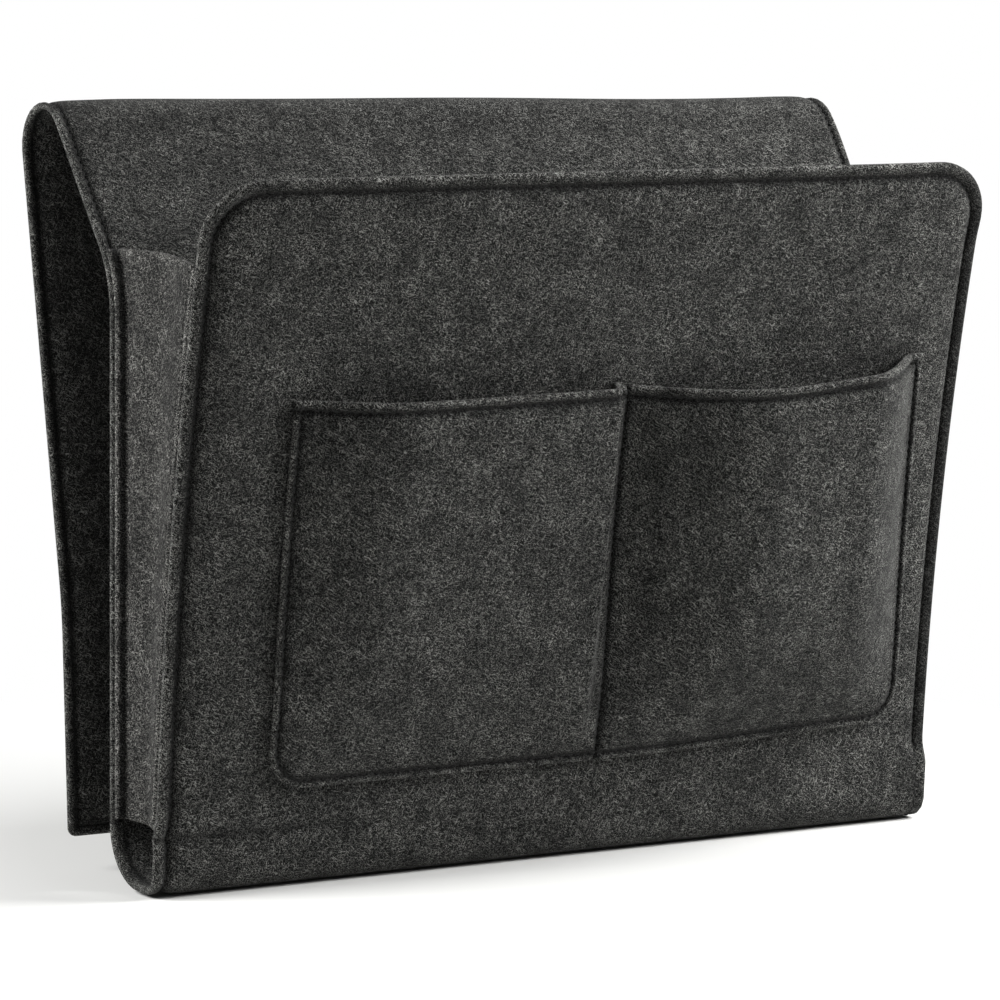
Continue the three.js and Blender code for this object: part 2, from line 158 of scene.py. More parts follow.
# The patch pocket
POCKET_LEFT = -119.5
POCKET_RIGHT = 142.0
POCKET_BOTTOM = 34.5
POCKET_TOP = 167.5
POCKET_LIFT = 3.7  # how much higher it is sewn at the right
LEFT_HEM, LEFT_HEM_GAIN = 1.6, 1.6  # how much higher the hem lies at the left, and what it gains to the fold
RIGHT_HEM, RIGHT_HEM_GAIN = 1.3, 2.6  # the same from the divider to the right end
HEM_DRAW = 4.5  # how far its right end is drawn in at the hem
HEM_TURN = 80.0  # width over which the hem rises and is drawn in at the right
DRAW_FADE = 1.5  # power at which that fades below the hem
POCKET_CORNER = 14.0
POCKET_DIVIDER = 12.0
LEFT_ROOM = 9.0  # depth of the left half
LEFT_RISE = 36.0  # width over which its left side rises
LEFT_FLOOR = 90.0  # height over which it opens from its bottom seam
FOLD_RUN = 6.0  # width of the fold between the halves
RIGHT_ROOM = 18.0  # depth of the right half
RIGHT_RISE = 54.0
RIGHT_FALL = 30.0  # width over which its right side falls
RIGHT_FLOOR = 60.0
POCKET_WALL = 2.2  # how much narrower the room is than the outer form
RIM_PRESS = 0.5  # how far the pocket's cut edge is pressed down

# Thread
STITCH_PITCH = 3.1
STITCH_LENGTH = 2.3
STITCH_RADIUS = 0.36
STITCH_SINK = 0.5  # of both ends of a stitch
STITCH_CROWN = 0.16  # rise of its middle
STITCH_SIDES = 6

# Fine steps in from a cut edge and on both sides of its seam, so that both have points
EDGE_STEPS = (0, 0.2, 0.5, 1, 1.6)
SEAM_STEPS = (-1.3, -0.7, -0.35, -0.15, 0, 0.15, 0.35, 0.7, 1.3, 2.2, 3.4)
FAR_STEPS = (9.5, 12, 14, 18, 24)
ROW_STEP = 3.0
COLUMN_STEP = 5.0
FOLD_STEP = 0.55  # across the pocket's fold
WALL_STEP = 1.5  # across the pocket's right side
PATH_STEP = 2.0  # along the pocket's straight seams
FLANGE_STEPS = (*EDGE_STEPS, 2.2)  # in from a gusset's cut edges
RIM_ROWS = (*EDGE_STEPS, 2.4, 3.6, 5)  # up from a gusset's foot and down from its top
GUSSET_START, GUSSET_STEP = 7.0, 4.0  # rows of its middle
BEND_STEPS, WEB_STEPS = 6, 12


def smooth(value):
    value = np.clip(value, 0, 1)
    return value * value * (3 - 2 * value)


def pulled(value):
    """Rises at once and eases out, like cloth pulled from a seam over something thick."""
    return np.sin(np.clip(value, 0, 1) * math.pi / 2)


def stops(start, end, step):
    return list(np.linspace(start, end, max(1, round(abs(end - start) / step)) + 1))


class FeltLine:
    """The middle of a felt sheet in the side plane, as (depth, height) points walked in short steps."""

    STEP = 1.5

    def __init__(self, point, heading):
        self.points = [np.array(point, float)]
        self.heading = heading

    @property
    def left(self):
        turn = math.radians(self.heading)
        return np.array((-math.sin(turn), math.cos(turn)))

    def run(self, length):
        along = np.array((self.left[1], -self.left[0]))
        start = self.points[-1]
        self.points += [start + along * reach for reach in stops(0, length, self.STEP)[1:]]
        return self

    def bend(self, radius, degrees):
        """Positive degrees turn left."""
        side = math.copysign(1, degrees)
        centre = self.points[-1] + self.left * side * radius
        start = self.heading
        step = math.degrees(self.STEP / radius)
        for turned in stops(0, degrees, min(step, 4))[1:]:
            self.heading = start + turned
            self.points.append(centre - self.left * side * radius)
        return self


class SideLine:
    """A finished side line: places points of the sheet by width, by length along it and by height over it."""

    def __init__(self, points):
        self.points = np.array(points)
        legs = np.hypot(*np.diff(self.points, axis=0).T)
        self.reach = np.concatenate([[0], np.cumsum(legs)])
        along = np.gradient(self.points, self.reach, axis=0)
        self.along = along / np.linalg.norm(along, axis=1)[:, None]
        self.length = self.reach[-1]

    def place(self, across, along, lift):
        depth, height, toward, upward = (
            np.interp(along, self.reach, column)
            for column in (*self.points.T, *self.along.T)
        )
        return np.column_stack([across, depth - lift * upward, height + lift * toward])


def front_depth(height):
    share = height / FRONT_HEIGHT
    return -(BASE_DEPTH + LEAN_DEPTH * share + FLARE_DEPTH * share**2)


def front_slope(height):
    return -(LEAN_DEPTH + 2 * FLARE_DEPTH * height / FRONT_HEIGHT) / FRONT_HEIGHT


def front_middle(height):
    slope = front_slope(height)
    inward = np.array((1, -slope)) / math.hypot(1, slope)
    return np.array((front_depth(height), height)) + HALF * inward


# The long sheet's side lines. The bottom's rear bend takes what the front bend and the flat leave.
crease = front_middle(FOLD_LINE)
foot_lean = math.atan(-front_slope(FOLD_LINE))
front_bend = FRONT_BEND - HALF
foot_run = (crease[1] - HALF - front_bend * (1 - math.sin(foot_lean))) / math.cos(foot_lean)
to_flat = foot_run * math.sin(foot_lean) + front_bend * math.cos(foot_lean)
rear_bend = -HALF - BOTTOM_FLAT - crease[0] - to_flat
back_foot = HALF + rear_bend

lean_degrees = math.degrees(foot_lean)
bottom = FeltLine(crease, lean_degrees - 90).run(foot_run).bend(front_bend, 90 - lean_degrees)
bottom.run(BOTTOM_FLAT).bend(rear_bend, 90)
front_heights = stops(FOLD_LINE, FRONT_HEIGHT, FeltLine.STEP)
front_line = SideLine(bottom.points[::-1] + [front_middle(height) for height in front_heights[1:]])
front_crease = front_line.reach[len(bottom.points) - 1]

rear = FeltLine(bottom.points[-1], 90).run(BACK_HEIGHT - back_foot)
rear.bend(LEAN_BEND + HALF, -LEAN_ANGLE).run(SADDLE_RUN)
arch_centre = rear.points[-1] + rear.left * (HALF - ARCH_BEND)
rear.bend(ARCH_BEND - HALF, LEAN_ANGLE - 180 - FLAP_ANGLE)
rear.run(FLAP_RUN).bend(FLAP_BEND, FLAP_EASE).run(FLAP_HANG)
rear_line = SideLine(rear.points)
SEAT = np.array((0, arch_centre[0], arch_centre[1] + ARCH_BEND - FELT))


def along_front(height):
    """Length along the front sheet at a height on the front panel."""
    return np.interp(height, front_heights, front_line.reach[len(bottom.points) - 1:])


def open_edges(faces):
    """Edges that belong to one face only."""
    used = dict.fromkeys((a, b) for face in faces for a, b in zip(face, face[1:] + face[:1]))
    return [(a, b) for a, b in used if (b, a) not in used]


class Blank:
    """A felt blank laid flat, straight at its near end and with two round corners at its far end."""

    FAN_STEPS = 14

    def __init__(self, half_width, length, corner, seam, columns=(), rows=(), near_edge_free=False):
        self.half_width, self.length, self.corner = half_width, length, corner
        self.near_edge_free = near_edge_free
        self.points, self.faces, self.known = [], [], {}
        seam_insets = (seam + step for step in SEAM_STEPS)
        insets = self.thinned({corner, *seam_insets}, EDGE_STEPS + FAR_STEPS, least=0.12)
        sides = [half_width - inset for inset in insets]
        middle_columns = (*columns, *stops(-half_width, half_width, COLUMN_STEP))
        inner = [a for a in middle_columns if abs(a) < sides[-1] - 1]
        across = self.thinned({*sides, *(-a for a in sides)}, inner)
        ends = [length - inset for inset in insets if inset >= corner]
        if near_edge_free:
            ends += insets
        middle_rows = (*rows, *stops(0, length - corner, ROW_STEP))
        last_row = min(ends[0], length - corner) - 0.5
        along = self.thinned({0, *ends}, [s for s in middle_rows if s < last_row])
        self.grid(across, [s for s in along if s <= length - corner + 1e-6])
        reach = half_width - corner + 1e-6
        tip = [length - inset for inset in reversed(insets) if inset <= corner]
        self.grid([a for a in across if abs(a) <= reach], tip)
        self.fans([corner - inset for inset in insets if inset <= corner])
        self.across, self.along = np.array(self.points).T
        self.distance = self.edge_distance(self.across, self.along)

    @staticmethod
    def thinned(fixed, extra, least=0.3):
        kept = sorted(fixed)
        for value in sorted(extra):
            if min(abs(value - other) for other in kept) > least:
                kept.append(value)
        return sorted(kept)

    def corner_of(self, across, along):
        key = (round(across, 4), round(along, 4))
        if key not in self.known:
            self.known[key] = len(self.points)
            self.points.append((across, along))
        return self.known[key]

    def add_face(self, corners):
        face = list(dict.fromkeys(self.corner_of(*corner) for corner in corners))
        if len(face) > 2:
            self.faces.append(face)

    def grid(self, across, along):
        for a0, a1 in zip(across, across[1:]):
            for s0, s1 in zip(along, along[1:]):
                self.add_face([(a0, s0), (a1, s0), (a1, s1), (a0, s1)])

    def fans(self, radii):
        turns = np.linspace(0, math.pi / 2, self.FAN_STEPS + 1)
        for side in (1, -1):
            for outer, inner in zip(radii, radii[1:]):
                for t0, t1 in zip(turns, turns[1:]):
                    ring = [(inner, t0), (outer, t0), (outer, t1), (inner, t1)]
                    corners = [
                        (
                            side * (self.half_width - self.corner + radius * math.cos(turn)),
                            self.length - self.corner + radius * math.sin(turn),
                        )
                        for radius, turn in ring
                    ]
                    self.add_face(corners[::side])

    def edge_distance(self, across, along):
        side = self.half_width - np.abs(across)
        end = self.length - along
        in_corner = (side < self.corner) & (end < self.corner)
        round_edge = self.corner - np.hypot(self.corner - side, self.corner - end)
        distance = np.where(in_corner, round_edge, np.minimum(side, end))
        return np.maximum(np.minimum(distance, along) if self.near_edge_free else distance, 0)

    def seam(self, inset, start, turn_steps=12):
        """A path beside the edges: up one side from start, round both corners and down the other side."""
        radius = max(self.corner - inset, 0)
        across = self.half_width - inset
        shoulder = self.length - inset - radius
        turns = np.linspace(0, math.pi / 2, turn_steps)
        corner = [
            (across - radius + radius * math.cos(turn), shoulder + radius * math.sin(turn))
            for turn in turns
        ]
        right = [(across, s) for s in stops(start, shoulder, ROW_STEP)[:-1]] + corner
        top = [(a, self.length - inset) for a in stops(across - radius, radius - across, ROW_STEP)[1:-1]]
        left = [(-a, s) for a, s in reversed(right)]
        return np.array(left[::-1] + top[::-1] + right[::-1])


def cut_round(distance):
    """Share of the felt's thickness beside a cut edge."""
    return np.interp(distance, CUT_DISTANCE, CUT_THICKNESS)


def groove(distance, depth):
    """A slit with swelling sides, by the distance from its seam."""
    away = np.abs(distance)
    return depth * (SLIT_SHARE * np.exp(-away / SLIT) + SWELL_SHARE * np.exp(-away / SWELL))


def press_and_shade(distance):
    """How strongly a seam or crease presses the felt, by the distance from it: it sets the crease's dent and
    how much painted shade falls in seams and at the crease.
    """
    return np.exp(-((np.asarray(distance) / PRESS_WIDTH) ** 2))


def edge_highlight(distance):
    """How much painted highlight lightens the felt, by the distance from a cut edge."""
    return 1 - smooth(distance / HIGHLIGHT_WIDTH)


def slack(across, along, distance, waves):
    """Slow waves of a sheet away from its edges. Each has a height, lengths across and along, and a start."""
    free = smooth((distance - WAVE_START) / WAVE_GROW)
    return free * sum(
        height * np.sin(2 * math.pi * (across / width + along / length) + start)
        for height, width, length, start in waves
    )


def to_row(points):
    return (np.asarray(points) - SEAT) / 1000


def add_object(name, data):
    item = bpy.data.objects.new(name, data)
    scene.collection.objects.link(item)
    return item


def add_mesh(name, points, faces, smooth_below=48):
    mesh = bpy.data.meshes.new(name)
    mesh.from_pydata(to_row(points).tolist(), [], faces)
    mesh.polygons.foreach_set("use_smooth", [True] * len(mesh.polygons))
    mesh.set_sharp_from_angle(angle=math.radians(smooth_below))
    return add_object(name, mesh)


def mark_felt(piece, painted_shade, highlight):
    """Notes for each point how much painted shade falls on it in seams, creases and recesses, and how much
    painted highlight it has beside a cut edge.
    """
    for name, values in (("press_and_shade", painted_shade), ("edge_highlight", highlight)):
        attribute = piece.data.attributes.new(name, "FLOAT", "POINT")
        attribute.data.foreach_set("value", np.asarray(values, np.float32))


def felt_piece(name, blank, surface, painted_shade, flip=False):
    """A felt blank with both faces and its cut edges. surface gives a face's points: 1 outer, -1 inner."""
    outer = surface(blank.across, blank.along, 1)
    inner = surface(blank.across, blank.along, -1)
    count = len(outer)
    faces = list(blank.faces)
    faces += [[corner + count for corner in reversed(face)] for face in blank.faces]
    faces += [[b, a, a + count, b + count] for a, b in open_edges(blank.faces)]
    if flip:
        faces = [face[::-1] for face in faces]
    piece = add_mesh(name, np.vstack([outer, inner]), faces)
    mark_felt(piece, np.tile(painted_shade, 2), np.tile(edge_highlight(blank.distance), 2))
    return piece


# The front sheet: bottom and front panel in one piece
crease_rows = [front_crease + side * step for step in SEAM_STEPS[4:] for side in (-1, 1)]
front_blank = Blank(EDGE, front_line.length, FRONT_CORNER, FRONT_INSET, rows=crease_rows)
gusset_foot = back_foot + FOOT_RISE


def rim_turn(across, depth, along):
    """Draws the front's sides in and turns them back. depth is measured inwards from the outer face."""
    sewn = smooth((along - along_front(gusset_foot - RIM_SET / 2)) / RIM_SET)
    sewn = sewn * smooth((front_line.length - RIM_END * FRONT_CORNER - along) / FRONT_CORNER)
    reach = np.abs(across)
    beyond = np.maximum(reach - (EDGE - RIM_WIDTH), 0)
    turn = np.minimum(beyond / RIM_BEND, math.radians(RIM_TURN) * sewn)
    straight = beyond - turn * RIM_BEND
    sideways = RIM_BEND * np.sin(turn) + straight * np.cos(turn)
    back = RIM_BEND * (1 - np.cos(turn)) + straight * np.sin(turn)
    turned = np.where(beyond > 0, EDGE - RIM_WIDTH + sideways - depth * np.sin(turn), reach)
    turned = turned - RIM_DRAW * sewn * smooth((reach - EDGE / 2) / (EDGE / 2))
    return np.sign(across) * turned, back + depth * np.cos(turn)


def crease_mark(across, along):
    return press_and_shade(along - front_crease) * smooth((CREASE_END - across) / (EDGE + CREASE_END))


def front_slack(across, along):
    """How far the front stands off its plain side line: its fullness, slow waves and a dent at the crease."""
    side = EDGE - np.abs(across)
    risen = along - front_crease
    full = FRONT_BOW * (1 - np.exp(-np.maximum(side - RIM_WIDTH / 2, 0) / BOW_EDGE))
    full = full * (1 - BOW_EASE * smooth((risen - EASE_START) / EASE_RUN))
    waves = slack(across, along, front_blank.edge_distance(across, along), FRONT_WAVES)
    return (full + waves) * smooth(risen / BOW_RISE) - CREASE_DIP * crease_mark(across, along)


def seam_hold(across, along):
    """How firmly the front's seam pulls: at the right it runs out below the gusset's foot."""
    below = 1 - smooth((along - along_front(gusset_foot - SEAM_END / 2)) / SEAM_END)
    return 1 - SEAM_LOSS * below * smooth(across / EDGE)


def front_surface(across, along, side):
    distance = front_blank.edge_distance(across, along)
    dip = groove(distance - FRONT_INSET, SEAM_DIP if side > 0 else HIDDEN_DIP) * seam_hold(across, along)
    lift = side * (HALF * cut_round(distance) - dip) + front_slack(across, along)
    across, depth = rim_turn(across, HALF - lift, along)
    return front_line.place(across, along, HALF - depth)


# Painted shade on the front: in its seam groove, at the crease and on the right rim.
right_rim_shade = smooth((front_blank.across - EDGE + FRONT_CORNER) / (RIGHT_GROW * FRONT_CORNER))
right_rim_shade = right_rim_shade * smooth(FRONT_INSET + SEAM_PAST - front_blank.distance)
front_hold = seam_hold(front_blank.across, front_blank.along)
front_shade = np.max(
    (
        press_and_shade(front_blank.distance - FRONT_INSET) * front_hold,
        CREASE_SHADE * crease_mark(front_blank.across, front_blank.along),
        RIGHT_RIM_SHADE * right_rim_shade * front_hold,
    ),
    axis=0,
)
front_sheet = felt_piece("front_sheet", front_blank, front_surface, front_shade)

# The rear sheet: back panel, saddle and flap in one piece
rear_blank = Blank(EDGE, rear_line.length, FLAP_CORNER, SEAM_INSET)
lean_start = BACK_HEIGHT - back_foot
run_start = lean_start + (LEAN_BEND + HALF) * math.radians(LEAN_ANGLE)
arch_start = run_start + SADDLE_RUN
flap_start = arch_start + (ARCH_BEND - HALF) * math.radians(180 + FLAP_ANGLE - LEAN_ANGLE)


def saddle_sway(across, along):
    """Moves the saddle and the flap's upper part off their plain side line: forward and down at the right."""
    hung = smooth((along - run_start) / SADDLE_RUN) * (1 - smooth((along - flap_start) / FLAP_RUN))
    forward = SADDLE_SWAY * hung * smooth((across + EDGE / 2) / (1.5 * EDGE))
    return np.column_stack([np.zeros_like(hung), -forward, -SADDLE_TILT * hung * across / EDGE])


def rear_surface(across, along, side):
    distance = rear_blank.edge_distance(across, along)
    lift = side * (HALF * cut_round(distance) - groove(distance - SEAM_INSET, REAR_DIP))
    hanging = smooth((along - lean_start - FREE_START) / FREE_RUN)
    plain = rear_line.place(across, along, lift + hanging * slack(across, along, distance, REAR_WAVES))
    return plain + saddle_sway(across, along)


# Painted shade in the rear sheet's seam grooves.
rear_shade = press_and_shade(rear_blank.distance - SEAM_INSET)
rear_sheet = felt_piece("rear_sheet", rear_blank, rear_surface, rear_shade)

# The patch pocket, laid on the front panel
POCKET_MIDDLE = (POCKET_LEFT + POCKET_RIGHT) / 2
left_wall = POCKET_LEFT + SEAM_STRIP
right_wall = POCKET_RIGHT - SEAM_STRIP
fold_foot = POCKET_DIVIDER - SEAM_INSET
right_foot = POCKET_DIVIDER + SEAM_INSET
floor_line = POCKET_BOTTOM + SEAM_STRIP
fold_columns = stops(fold_foot - FOLD_RUN - POCKET_WALL - 1, fold_foot + 0.6, FOLD_STEP)
divider_columns = [POCKET_DIVIDER + side * step for step in SEAM_STEPS[4:] for side in (-1, 1)]
wall_columns = stops(right_wall - RIGHT_FALL - 2, right_wall, WALL_STEP)
pocket_blank = Blank(
    (POCKET_RIGHT - POCKET_LEFT) / 2,
    POCKET_TOP - POCKET_BOTTOM,
    POCKET_CORNER,
    POCKET_INSET,
    rows=[SEAM_INSET + step for step in SEAM_STEPS],
    columns=[x - POCKET_MIDDLE for x in (*fold_columns, *divider_columns, *wall_columns)],
    near_edge_free=True,
)


def pocket_lift(x):
    return POCKET_LIFT * smooth((x - right_foot) / (right_wall - right_foot))


def pocket_room(x, height, set_in):
    """Room between the front panel and a face of the pocket."""
    left = pulled((x - left_wall - set_in) / LEFT_RISE) * smooth((fold_foot - set_in - x) / FOLD_RUN)
    right = pulled((x - right_foot - set_in) / RIGHT_RISE) * pulled((right_wall - set_in - x) / RIGHT_FALL)
    rise = height - floor_line - pocket_lift(x) - set_in
    left_room = LEFT_ROOM * left * pulled(rise / LEFT_FLOOR)
    return GAP + left_room + RIGHT_ROOM * right * pulled(rise / RIGHT_FLOOR)


def hem_turn(x):
    """Share of the way to the hem's right end."""
    return smooth((x - POCKET_RIGHT) / HEM_TURN + 1)


def hem_rise(x):
    """How much higher the hem lies than the pocket's straight upper edge."""
    left = LEFT_HEM + LEFT_HEM_GAIN * smooth((x - POCKET_LEFT) / (fold_foot - POCKET_LEFT))
    right = RIGHT_HEM + RIGHT_HEM_GAIN * hem_turn(x)
    return left + (right - left) * smooth((x - fold_foot + FOLD_RUN / 2) / FOLD_RUN)


def seam_distance(across, fallen):
    """Distance from the nearest of the pocket's seams, and from its sewn edges."""
    distance = pocket_blank.edge_distance(across, fallen)
    sewn = np.where(fallen < distance + 0.01, EDGE, distance)
    seams = (sewn - POCKET_INSET, fallen - SEAM_INSET, across + POCKET_MIDDLE - POCKET_DIVIDER)
    return np.min(np.abs(seams), axis=0), sewn


def pocket_surface(across, fallen, side):
    x = across + POCKET_MIDDLE
    near_hem = 1 - fallen / pocket_blank.length
    height = POCKET_TOP - fallen + pocket_lift(x) + hem_rise(x) * near_hem
    distance = pocket_blank.edge_distance(across, fallen)
    from_seam, sewn = seam_distance(across, fallen)
    outer = pocket_room(x, height, 0) + FELT
    inner = pocket_room(x, height, POCKET_WALL)
    outer = outer - RIM_PRESS * smooth(1 - sewn / POCKET_INSET)
    middle, thick = (outer + inner) / 2, (outer - inner) / 2
    face = middle + side * thick * cut_round(distance)
    if side > 0:
        face = face - groove(from_seam, SEAM_DIP)
    along = along_front(height)
    x = x - HEM_DRAW * hem_turn(x) * near_hem**DRAW_FADE
    return front_line.place(x, along, HALF + front_slack(x, along) + face)


# Painted shade in the pocket's seam grooves.
pocket_shade = press_and_shade(seam_distance(pocket_blank.across, pocket_blank.along)[0])
pocket_sheet = felt_piece("pocket_sheet", pocket_blank, pocket_surface, pocket_shade, flip=True)


# The gussets: felt channels with their flanges on the inner faces of the back sheet and the front panel
def back_lean(height):
    rise = max(height - BACK_HEIGHT, 0)
    return math.asin(min(rise / (LEAN_BEND + FELT), math.sin(math.radians(LEAN_ANGLE))))


def back_face(height):
    lean = back_lean(height)
    radius = LEAN_BEND + FELT
    past_bend = max(height - BACK_HEIGHT, 0) - radius * math.sin(lean)
    return LEAN_BEND - radius * math.cos(lean) + past_bend * math.tan(lean)


def channel_plan(height):
    """The channel's middle line at a height on the left side, from the rear cut edge to the front one.

    Each point is x, depth, and the way out to the outer face."""
    rear_secant = 1 / math.cos(back_lean(height))
    front_secant = math.hypot(1, front_slope(height))
    rear_depth = back_face(height) - (GAP + HALF) * rear_secant
    front = front_depth(height) + (FELT + GAP + HALF) * front_secant
    web = -EDGE + GUSSET_RECESS + HALF
    corner = web - GUSSET_BEND
    turns = np.linspace(0, math.pi / 2, BEND_STEPS + 1)
    flange = [-EDGE + inset for inset in FLANGE_STEPS]
    plan = [(x, rear_depth, 0, rear_secant) for x in flange]
    plan += [
        (
            corner + GUSSET_BEND * math.sin(turn),
            rear_depth - GUSSET_BEND * (1 - math.cos(turn)),
            math.sin(turn),
            math.cos(turn) * rear_secant,
        )
        for turn in turns
    ]
    rear_web, front_web = rear_depth - GUSSET_BEND, front + GUSSET_BEND
    shares = np.linspace(0, 1, WEB_STEPS + 1)[1:-1]
    plan += [
        (web + GUSSET_BOW * math.sin(math.pi * share) ** 2, rear_web + (front_web - rear_web) * share, 1, 0)
        for share in shares
    ]
    plan += [
        (
            corner + GUSSET_BEND * math.cos(turn),
            front + GUSSET_BEND * (1 - math.sin(turn)),
            math.cos(turn),
            -math.sin(turn) * front_secant,
        )
        for turn in turns
    ]
    plan += [(x, front, 0, -front_secant) for x in reversed(flange)]
    return np.array(plan)


def gusset_piece(name, side):
    """A gusset's felt, the share of the way to the front of each of its points, and its cut size."""
    tall = GUSSET_TOP - gusset_foot
    middle_rows = stops(GUSSET_START, tall - GUSSET_START, GUSSET_STEP)
    rows = [*RIM_ROWS, *middle_rows, *(tall - inset for inset in reversed(RIM_ROWS))]
    faces_points = {1: [], -1: []}
    depth_share, widths, highlight, painted_shade = [], [], [], []
    for row in rows:
        plan = channel_plan(gusset_foot + row)
        count = len(plan)
        widths.append(np.hypot(*np.diff(plan[:, :2], axis=0).T).sum())
        share = np.clip((plan[0, 1] - plan[:, 1]) / (plan[0, 1] - plan[-1, 1]), 0, 1)
        rear_flange = np.arange(count) < FLANGE_POINTS
        front_flange = np.arange(count) > count - FLANGE_POINTS
        upper = (GUSSET_CROWN * np.sin(math.pi * share) - GUSSET_FALL * share) * (row / tall) ** EDGE_FADE
        lower = FOOT_LIFT - FOOT_FALL * share + FLANGE_TRIM * front_flange
        height = gusset_foot + row + upper + lower * (1 - row / tall) ** EDGE_FADE
        inset = plan[:, 0] + EDGE
        rim_distance = np.minimum(np.minimum(row, tall - row), np.abs(inset))
        # Painted shade on a strip of the rear flange in the recess beside its cut edge; the painted highlight
        # stops there.
        shaded_strip = smooth((inset - STRIP_START) / STRIP_GROW) * smooth((STRIP_END - inset) / STRIP_FADE)
        shaded_strip = shaded_strip * rear_flange
        highlight.append(edge_highlight(rim_distance) * (1 - shaded_strip))
        painted_shade.append(FLANGE_SHADE * shaded_strip)
        body = HALF * cut_round(rim_distance)
        swell = GAP - FLANGE_CLEAR + groove(inset - SEAM_INSET, REAR_DIP)
        swell = swell * rear_flange * smooth((inset - FILL_START) / FILL_GROW)
        swell = swell * np.minimum(1, rim_distance / FILL_END)
        front, secant = front_depth(height), math.hypot(1, front_slope(gusset_foot + row))
        for face in (1, -1):
            full = body + (swell if face < 0 else 0)
            x, depth = plan[:, 0] - face * body * plan[:, 2], plan[:, 1] - face * full * plan[:, 3]
            behind = (depth - front) / secant
            near_front = smooth((3 * FELT - behind) / FELT)
            turned, sunk = rim_turn(x, behind, along_front(height))
            moved = front + sunk * secant
            x, depth = x + near_front * (turned - x), depth + near_front * (moved - depth)
            faces_points[face].append(np.column_stack([side * -x, depth, height]))
        depth_share.append(share)
    faces, size = [], len(rows) * count
    for i in range(len(rows) - 1):
        for j in range(count - 1):
            corner = i * count + j
            quad = [corner, corner + 1, corner + count + 1, corner + count]
            faces.append(quad[::-1])
            faces.append([vertex + size for vertex in quad])
    faces += [[b, a, a + size, b + size] for a, b in sorted(open_edges(faces)) if a < size]
    if side > 0:
        faces = [face[::-1] for face in faces]
    piece = add_mesh(name, np.vstack(faces_points[1] + faces_points[-1]), faces)
    mark_felt(piece, np.tile(np.concatenate(painted_shade), 2), np.tile(np.concatenate(highlight), 2))
    area = np.dot(np.diff(rows), np.convolve(widths, (0.5, 0.5), "valid"))
    return piece, np.tile(np.concatenate(depth_share), 2), (max(widths), tall, area)


gussets = {name: gusset_piece(f"{name}_gusset_felt", side) for name, side in (("left", -1), ("right", 1))}


# Seams: each stitch is a short length of thread that dives into the felt at both ends
def seam_thread(name, path, surface, side=1):
    legs = np.hypot(*np.diff(path, axis=0).T)
    reach = np.concatenate([[0], np.cumsum(legs)])
    count = int((reach[-1] - STITCH_LENGTH) / STITCH_PITCH) + 1
    spare = (reach[-1] - STITCH_LENGTH - (count - 1) * STITCH_PITCH) / 2
    share = np.array((0, 0.16, 0.5, 0.84, 1))
    sink = np.array((STITCH_SINK, 0, -STITCH_CROWN, 0, STITCH_SINK))
    thick = STITCH_RADIUS * np.array((0.55, 0.95, 1, 0.95, 0.55))
    at = spare + np.arange(count)[:, None] * STITCH_PITCH + share * STITCH_LENGTH
    across, along = (np.interp(at.ravel(), reach, column) for column in path.T)
    top, under = surface(across, along, side), surface(across, along, -side)
    up = (top - under) / np.linalg.norm(top - under, axis=1)[:, None]
    centre = (top - up * np.tile(sink, count)[:, None]).reshape(count, len(share), 3)
    up = up.reshape(centre.shape)
    forward = np.gradient(centre, axis=1)
    forward /= np.linalg.norm(forward, axis=2)[..., None]
    aside = np.cross(forward, up)
    aside /= np.linalg.norm(aside, axis=2)[..., None]
    up = np.cross(aside, forward)
    turns = np.linspace(0, 2 * math.pi, STITCH_SIDES + 1)[:-1]
    rings = [
        centre + thick[:, None] * (math.cos(turn) * aside + math.sin(turn) * up)
        for turn in turns
    ]
    points = np.stack(rings, axis=2).reshape(-1, 3)
    sides, faces = STITCH_SIDES, []
    for stitch in range(count):
        base = stitch * len(share) * sides
        for ring in range(len(share) - 1):
            for turn in range(sides):
                a = base + ring * sides + turn
                b = base + ring * sides + (turn + 1) % sides
                faces.append([a, b, b + sides, a + sides])
        faces.append([base + turn for turn in reversed(range(sides))])
        faces.append([base + (len(share) - 1) * sides + turn for turn in range(sides)])
    return add_mesh(name, points, faces, smooth_below=70), np.repeat(along, sides)


def part_of(path, keep):
    return path[[keep(*point) for point in path]]


def at_both_sides(name, node, surface, seam, face, keep):
    """A run of a seam at the left and its twin at the right."""
    for side, sign in (("left", -1), ("right", 1)):
        path = part_of(seam, lambda a, s: a * sign > 0 and keep(s))
        yield f"{name}_{side}", f"{node}_{side}", surface, path, face


def pocket_row(start, end):
    return np.array([(x - POCKET_MIDDLE, SEAM_INSET) for x in stops(start, end, PATH_STEP)])


front_seam = front_blank.seam(FRONT_INSET, start=2)
rear_seam = rear_blank.seam(SEAM_INSET, start=2)
pocket_seam = pocket_blank.seam(POCKET_INSET, start=1)
front_rim = part_of(front_seam, lambda a, s: s > front_crease)
flap_rim = part_of(rear_seam, lambda a, s: s >= flap_start)
saddle_start = lean_start + (GUSSET_TOP + SEAM_INSET - BACK_HEIGHT) * LEAN_STRETCH
divider_stops = stops(1, POCKET_TOP - POCKET_BOTTOM - SEAM_STRIP, PATH_STEP)
divider_path = np.array([(POCKET_DIVIDER - POCKET_MIDDLE, s) for s in divider_stops])
left_hem = pocket_row(left_wall, fold_foot - FOLD_RUN)
right_hem = pocket_row(right_foot, right_wall)
